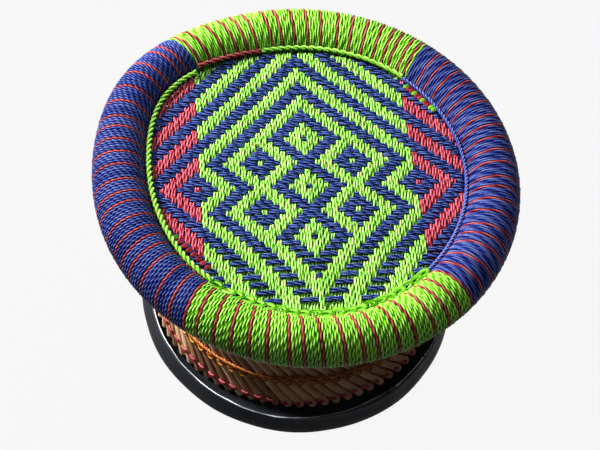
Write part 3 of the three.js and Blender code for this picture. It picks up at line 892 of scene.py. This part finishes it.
def reed_azimuths(layer):
    """Azimuths of the feet of a layer's reeds, spread evenly, one row for each bundle."""
    bundles = bundle_counts[layer]
    step = FULL_TURN / bundles / BUNDLE_REEDS
    number = np.arange(bundles * BUNDLE_REEDS).reshape(bundles, BUNDLE_REEDS)
    return bundle_lead(*LAYERS[layer]) + step * (number - (BUNDLE_REEDS - 1) / 2)


def add_layer(layer, hand, inset):
    """A layer of reeds, as one piece for each bundle."""
    for bundle, azimuths in enumerate(reed_azimuths(layer)):
        reeds = Strands(REED_SIDES)
        for azimuth in azimuths:
            add_reed(reeds, azimuth, hand, inset)
        name = f"reeds_{layer}_{bundle + 1:02d}"
        add_piece(f"{name}_cane", reeds, reed_finish, "reed", name)


for layer_name, layer_facts in LAYERS.items():
    add_layer(layer_name, *layer_facts)


# Cords tied round the reeds


WAIST_HEIGHT = 76.0
WAIST_STEP = 1.2
ROPE_STRAND = 0.85
ROPE_RED_STRAND = 0.6
ROPE_PITCH = 9.0

LOOP_HEIGHT = 66.0
LOOP_REACH = 2.3
LOOP_TURN = math.radians(42)
LOOP_TILT = 0.9
LOOP_RADIUS = 0.75
LOOP_POINTS = 22

TIE_HEIGHT = 34.0
TIE_TURN = math.radians(30)
TIE_RADIUS = 1.0
TIE_SPREADS = (0.7, 1.3)
TIE_POINTS = 13

# The cords were tied by eye: how far they lie below their heights round the stool, as
# azimuths in degrees and dips, and how far each loop and tie strays
ROPE_DIPS = ((0, 200, 252, 263, 289), (5.5, 11.0, 11.5, 5.5, 5.0))
LOOP_DIPS = ((0, 200, 228, 252, 268, 284), (5.5, 5.0, 5.5, 9.0, 5.0, 4.5))
TIE_DIPS = ((0, 190, 215, 242, 268, 292, 313), (1.0, -3.0, -4.0, 1.0, 3.5, -2.0, 0.0))
HEIGHT_WANDER = 0.4


def reed_surface(height):
    """Distance from Z to the outer face of the outer reeds at a height."""
    foot, top = reed_ends(0.0, *LAYERS["outer"])
    share = (height - foot[2]) / (top[2] - foot[2])
    point = foot + (top - foot) * share
    return math.hypot(point[0], point[1]) + REED_RADIUS


def on_reed(azimuth, turn, height, lift):
    """Points lifted off an outer reed, from angles round it and heights, and their facings."""
    foot, top = reed_ends(azimuth, *LAYERS["outer"])
    axis = unit(top - foot)
    centre = foot + axis * ((height - foot[2]) / axis[2])[:, None]
    outward = centre.mean(0) * (1, 1, 0)
    outward = unit(outward - (outward @ axis) * axis)
    aside = np.cross(axis, outward)
    facing = np.cos(turn)[:, None] * outward + np.sin(turn)[:, None] * aside
    point = centre + (REED_RADIUS + lift) * facing
    return point - axis * ((point[:, 2] - height) / axis[2])[:, None], facing


def add_waist_rope():
    """Two orange strands and a thinner red one, twisted into a closed ring."""
    radius = reed_surface(WAIST_HEIGHT) + 2 * ROPE_STRAND
    line, facing = arc(radius, 0.0, 360.0, WAIST_HEIGHT, WAIST_STEP)
    line[:, 2] -= by_azimuth(np.arctan2(facing[:, 1], facing[:, 0]), *ROPE_DIPS)
    line[-1] = line[0]
    pitch = lengths(line)[-1] / round(lengths(line)[-1] / ROPE_PITCH)
    rope, red = Strands(STRAND_SIDES), Strands(STRAND_SIDES)
    turns = ((rope, ROPE_STRAND), (rope, ROPE_STRAND), (red, ROPE_RED_STRAND))
    for number, (strands, strand) in enumerate(turns):
        way = laid(line, facing, ROPE_STRAND, pitch, FULL_TURN * number / len(turns))[:-1]
        strands.add(way, facing[:-1], round_section(strand, STRAND_SIDES), closed=True)
    add_piece("waist_rope", rope, cords["orange"], "orange_cord", "waist_rope_orange")
    add_piece("waist_rope_red", red, cords["red"], "red_cord")


def add_loops():
    """Loops of cord that hang under the waist rope, one round the face of each outer reed."""
    loops = Strands(STRAND_SIDES)
    share = np.arange(LOOP_POINTS) * FULL_TURN / LOOP_POINTS
    for azimuth in reed_azimuths("outer").ravel():
        middle = LOOP_HEIGHT - by_azimuth(azimuth, *LOOP_DIPS) + rng.normal(0, HEIGHT_WANDER)
        height = middle + LOOP_REACH * np.sin(share) + LOOP_TILT * np.cos(share)
        line, facing = on_reed(azimuth, LOOP_TURN * np.cos(share), height, LOOP_RADIUS)
        loops.add(line, facing, round_section(LOOP_RADIUS, STRAND_SIDES), closed=True)
    add_piece("waist_loops", loops, cords["orange"], "orange_cord", "waist_loops_orange")


def add_ties():
    """Two turns of red cord over each outer reed, drawn together at its middle."""
    ties = Strands(STRAND_SIDES)
    turn = np.linspace(-TIE_TURN, TIE_TURN, TIE_POINTS)
    near, far = TIE_SPREADS
    spread = near + (far - near) * np.sin(turn) ** 2
    for azimuth in reed_azimuths("outer").ravel():
        middle = TIE_HEIGHT - by_azimuth(azimuth, *TIE_DIPS) + rng.normal(0, HEIGHT_WANDER)
        for hand in (-1, 1):
            line, facing = on_reed(azimuth, turn, middle + hand * spread, TIE_RADIUS)
            ties.add(line, facing, round_section(TIE_RADIUS, STRAND_SIDES))
    add_piece("foot_ties", ties, cords["red"], "red_cord", "foot_ties_red")


add_waist_rope()
add_loops()
add_ties()


# Foot ring: a strip of tyre rubber folded over a core


# Outlines of the sections, as radius less the foot's outer radius, and height
TYRE_OUTLINE = [
    (-1.5, 0.0), (-0.4, 0.3), (0.0, 1.5), (-1.6, 7.5), (-3.6, 13.5), (-5.0, 18.6),
    (-5.1, 20.3), (-5.6, 21.5), (-6.7, 21.9), (-7.8, 21.5), (-8.8, 21.0),
    (-20.0, 21.0), (-31.0, 21.0), (-31.8, 20.4), (-31.8, 18.0), (-9.5, 18.0), (-5.0, 3.0),
    (-23.6, 3.0), (-24.0, 2.6), (-24.0, 0.3), (-23.4, 0.0), (-12.0, 0.0),
]
CORE_OUTLINE = [
    (-5.6, 3.3), (-4.9, 4.6), (-8.2, 16.4), (-9.3, 17.4),
    (-30.0, 17.4), (-31.0, 16.4), (-31.0, 4.4), (-30.0, 3.3),
]

# Points of the tyre's outline that form its crest, and how much painted highlight each carries
CREST_HIGHLIGHT = {7: 0.35, 8: 1.0, 9: 0.35}

# The foot isn't quite round: how far out its outer wall and its crest lie, at azimuths in
# degrees. Only what lies outside the inner side follows the wall.
FOOT_AZIMUTHS = (0, 90, 150, 190, 225, 250, 270, 300, 335)
WALL_REACHES = (1.0, 0.0, -2.0, -3.5, -2.0, 0.3, 1.5, 2.0, 2.0)
CREST_REACHES = (0.0, 0.0, -1.0, -2.0, -0.5, 1.5, 1.0, -1.5, 0.0)
INNER_SIDE = -15.0

# Small unevenness of the strip: folds, kinks of its crest, and a painted highlight along the crest
# that is stronger in some places than in others
FOLDS = 26
FOLD_DEPTH = 0.7
CREST_SPOTS = 60
HIGHLIGHT_RANGE = (0.8, 1.2)
KINK = 0.35
TYRE_STEPS = 240


def around_at(azimuth, values):
    """Values spread evenly round the ring, with straight stretches between them."""
    places = np.arange(len(values)) * FULL_TURN / len(values)
    return np.interp(azimuth, places, values, period=FULL_TURN)


def foot_section(outline, azimuth):
    """The section of a ring in the foot at each azimuth."""
    outline = np.array(outline)[::-1]
    section = np.broadcast_to(outline[:, ::-1], (len(azimuth), len(outline), 2)).copy()
    reach = by_azimuth(azimuth, FOOT_AZIMUTHS, WALL_REACHES)
    section[:, :, 1] += reach[:, None] * (outline[:, 0] > INNER_SIDE)
    return section


def add_tyre():
    """The folded strip, with a pale painted highlight along its crest."""
    count = len(TYRE_OUTLINE)
    azimuth = np.arange(TYRE_STEPS) * FULL_TURN / TYRE_STEPS
    folds = around_at(azimuth, rng.uniform(-1, 1, FOLDS)) * FOLD_DEPTH
    line = polar(foot_radius, azimuth, 0.0)
    section = foot_section(TYRE_OUTLINE, azimuth)
    section[:, :, 1] += folds[:, None] - FOLD_DEPTH
    crest = [count - 1 - point for point in CREST_HIGHLIGHT]
    kinks = around_at(azimuth, rng.normal(0, KINK, CREST_SPOTS))
    kinks = kinks + by_azimuth(azimuth, FOOT_AZIMUTHS, CREST_REACHES)
    section[:, crest, 1] += kinks[:, None]
    # Painted highlight along the crest, stronger in some places than in others
    painted_highlight = np.zeros((TYRE_STEPS, count))
    highlight_strength = around_at(azimuth, rng.uniform(*HIGHLIGHT_RANGE, CREST_SPOTS))
    painted_highlight[:, crest] = highlight_strength[:, None] * list(CREST_HIGHLIGHT.values())
    tyre = Strands(count)
    tyre.add(line, polar(1.0, azimuth, 0.0), section, closed=True, tint=painted_highlight)
    add_piece("foot_tyre", tyre, rubber_finish, "tyre_rubber", "foot_tyre_strip")


def add_foot_core():
    """The bundle inside the strip, which keeps clear of its deepest folds."""
    azimuth = np.arange(TYRE_STEPS) * FULL_TURN / TYRE_STEPS
    line = polar(foot_radius, azimuth, 0.0)
    section = foot_section(CORE_OUTLINE, azimuth)
    section[:, :, 1] -= FOLD_DEPTH
    core = Strands(len(CORE_OUTLINE))
    core.add(line, polar(1.0, azimuth, 0.0), section, closed=True)
    add_piece("foot_core_grass", core, grass_and_shade_finish, "grass_bundle", "foot_core")


add_tyre()
add_foot_core()


# Top hoop: the CAD's own mesh, as cane


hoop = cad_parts["top_hoop"].data
hoop.materials.clear()
hoop.materials.append(cane_finish)


# Stage: a floor and a world that look white and give little light


WHITE = (1, 1, 1, 1)
FLOOR_REACH = 30.0
FLOOR_COLOUR = (0.07, 0.07, 0.07, 1)
FLOOR_WHITENESS = 0.92
FLOOR_OVERLAP = 9.0
WORLD_LIGHT = 0.015


def add_seen(tree):
    """One for the rays that see the white surroundings, nought for those that light."""
    ray = add_node(tree, "ShaderNodeLightPath").outputs
    seen = add_math(tree, "MAXIMUM", ray["Is Camera Ray"], ray["Is Glossy Ray"])
    return add_math(tree, "MAXIMUM", seen, ray["Is Transmission Ray"])


def floor_material():
    """White outside the foot ring for the rays that see it, and dark otherwise."""
    material = bpy.data.materials.new("floor_white")
    tree = empty_tree(material)
    place = add_node(tree, "ShaderNodeNewGeometry").outputs["Position"]
    away = add_node(tree, "ShaderNodeVectorMath", {0: place}, operation="LENGTH").outputs["Value"]
    outside = add_math(tree, "GREATER_THAN", away, (foot_radius - FLOOR_OVERLAP) * MM)
    open_floor = add_math(tree, "MULTIPLY", outside, FLOOR_WHITENESS)
    white = add_math(tree, "MULTIPLY", add_seen(tree), open_floor)
    plain = add_node(tree, "ShaderNodeBsdfDiffuse", {"Color": FLOOR_COLOUR}).outputs[0]
    glow = add_node(tree, "ShaderNodeEmission", {"Color": WHITE, "Strength": 1.0}).outputs[0]
    mix = add_node(tree, "ShaderNodeMixShader", {0: white, 1: plain, 2: glow})
    add_node(tree, "ShaderNodeOutputMaterial", {"Surface": mix.outputs[0]})
    return material


def add_floor():
    """A wide floor, which is stage and no part of the stool."""
    mesh = bpy.data.meshes.new("floor")
    signs = [(-1, -1), (1, -1), (1, 1), (-1, 1)]
    corners = [(across * FLOOR_REACH, back * FLOOR_REACH, 0) for across, back in signs]
    mesh.from_pydata(corners, [], [(0, 1, 2, 3)])
    mesh.materials.append(floor_material())
    floor = bpy.data.objects.new("floor", mesh)
    bpy.context.scene.collection.objects.link(floor)


def add_world():
    """White for the rays that see it, with little light of its own."""
    world = bpy.data.worlds.new("studio")
    bpy.context.scene.world = world
    tree = empty_tree(world)
    span = {"Value": add_seen(tree), "To Min": WORLD_LIGHT, "To Max": 1.0}
    strength = add_node(tree, "ShaderNodeMapRange", span).outputs[0]
    light = add_node(tree, "ShaderNodeBackground", {"Color": WHITE, "Strength": strength})
    add_node(tree, "ShaderNodeOutputWorld", {"Surface": light.outputs[0]})


# Lamps and camera


# Where the lamps point, in metres
LAMP_TARGET = Vector((0, 0, 0.15))

# The photograph's view: its size and where the middle of the rim lies in it, in pixels
PICTURE_WIDTH = 600
PICTURE_HEIGHT = 450
RIM_PIXEL_ACROSS = 308.0
RIM_PIXEL_DOWN = 174.1
SENSOR_WIDTH = 36.0
FOCAL_LENGTH = 78.0
CAMERA_DISTANCE = 1158.8
CAMERA_AZIMUTH = math.radians(-100.84)
CAMERA_ELEVATION = math.radians(53.93)
CAMERA_ROLL = math.radians(6.83)


def toward(azimuth, elevation):
    """The direction of an azimuth and an elevation."""
    level = math.cos(elevation)
    return Vector((level * math.cos(azimuth), level * math.sin(azimuth), math.sin(elevation)))


def add_lamp(name, azimuth, elevation, distance, size, power):
    """A square lamp that faces the stool, from an azimuth and elevation in degrees and a
    distance in metres."""
    lamp = bpy.data.lights.new(name, "AREA")
    lamp.size = size
    lamp.energy = power
    made = bpy.data.objects.new(name, lamp)
    bpy.context.scene.collection.objects.link(made)
    place = distance * toward(math.radians(azimuth), math.radians(elevation))
    made.location = place
    made.rotation_euler = (LAMP_TARGET - place).to_track_quat("-Z", "Y").to_euler()


def add_camera():
    """A camera at the photograph's place, turned so that the rim lies where it does there."""
    focal_pixels = FOCAL_LENGTH / SENSOR_WIDTH * PICTURE_WIDTH
    back = toward(CAMERA_AZIMUTH, CAMERA_ELEVATION)
    aside = Vector((-math.sin(CAMERA_AZIMUTH), math.cos(CAMERA_AZIMUTH), 0))
    above = back.cross(aside)
    right = math.cos(CAMERA_ROLL) * aside + math.sin(CAMERA_ROLL) * above
    up = math.cos(CAMERA_ROLL) * above - math.sin(CAMERA_ROLL) * aside
    pan = math.atan((RIM_PIXEL_ACROSS - PICTURE_WIDTH / 2) / focal_pixels)
    tilt = math.atan((RIM_PIXEL_DOWN - PICTURE_HEIGHT / 2) / focal_pixels * math.cos(pan))
    ahead = -math.cos(pan) * back - math.sin(pan) * right
    right = math.cos(pan) * right - math.sin(pan) * back
    ahead, up = (
        math.cos(tilt) * ahead + math.sin(tilt) * up,
        math.cos(tilt) * up - math.sin(tilt) * ahead,
    )
    target = Vector((0, 0, rim_height * MM))
    lens = bpy.data.cameras.new("camera")
    lens.lens = FOCAL_LENGTH
    lens.sensor_width = SENSOR_WIDTH
    lens.sensor_fit = "HORIZONTAL"
    camera = bpy.data.objects.new("camera", lens)
    bpy.context.scene.collection.objects.link(camera)
    turn = Matrix((right, up, -ahead)).transposed().to_4x4()
    camera.matrix_world = Matrix.Translation(target + back * CAMERA_DISTANCE * MM) @ turn
    bpy.context.scene.camera = camera


add_floor()
add_world()
add_lamp("key", azimuth=148, elevation=38, distance=2.2, size=0.6, power=138)
add_lamp("top", azimuth=-60, elevation=86, distance=2.6, size=1.6, power=24)
add_camera()
bpy.context.scene.view_settings.view_transform = "Standard"
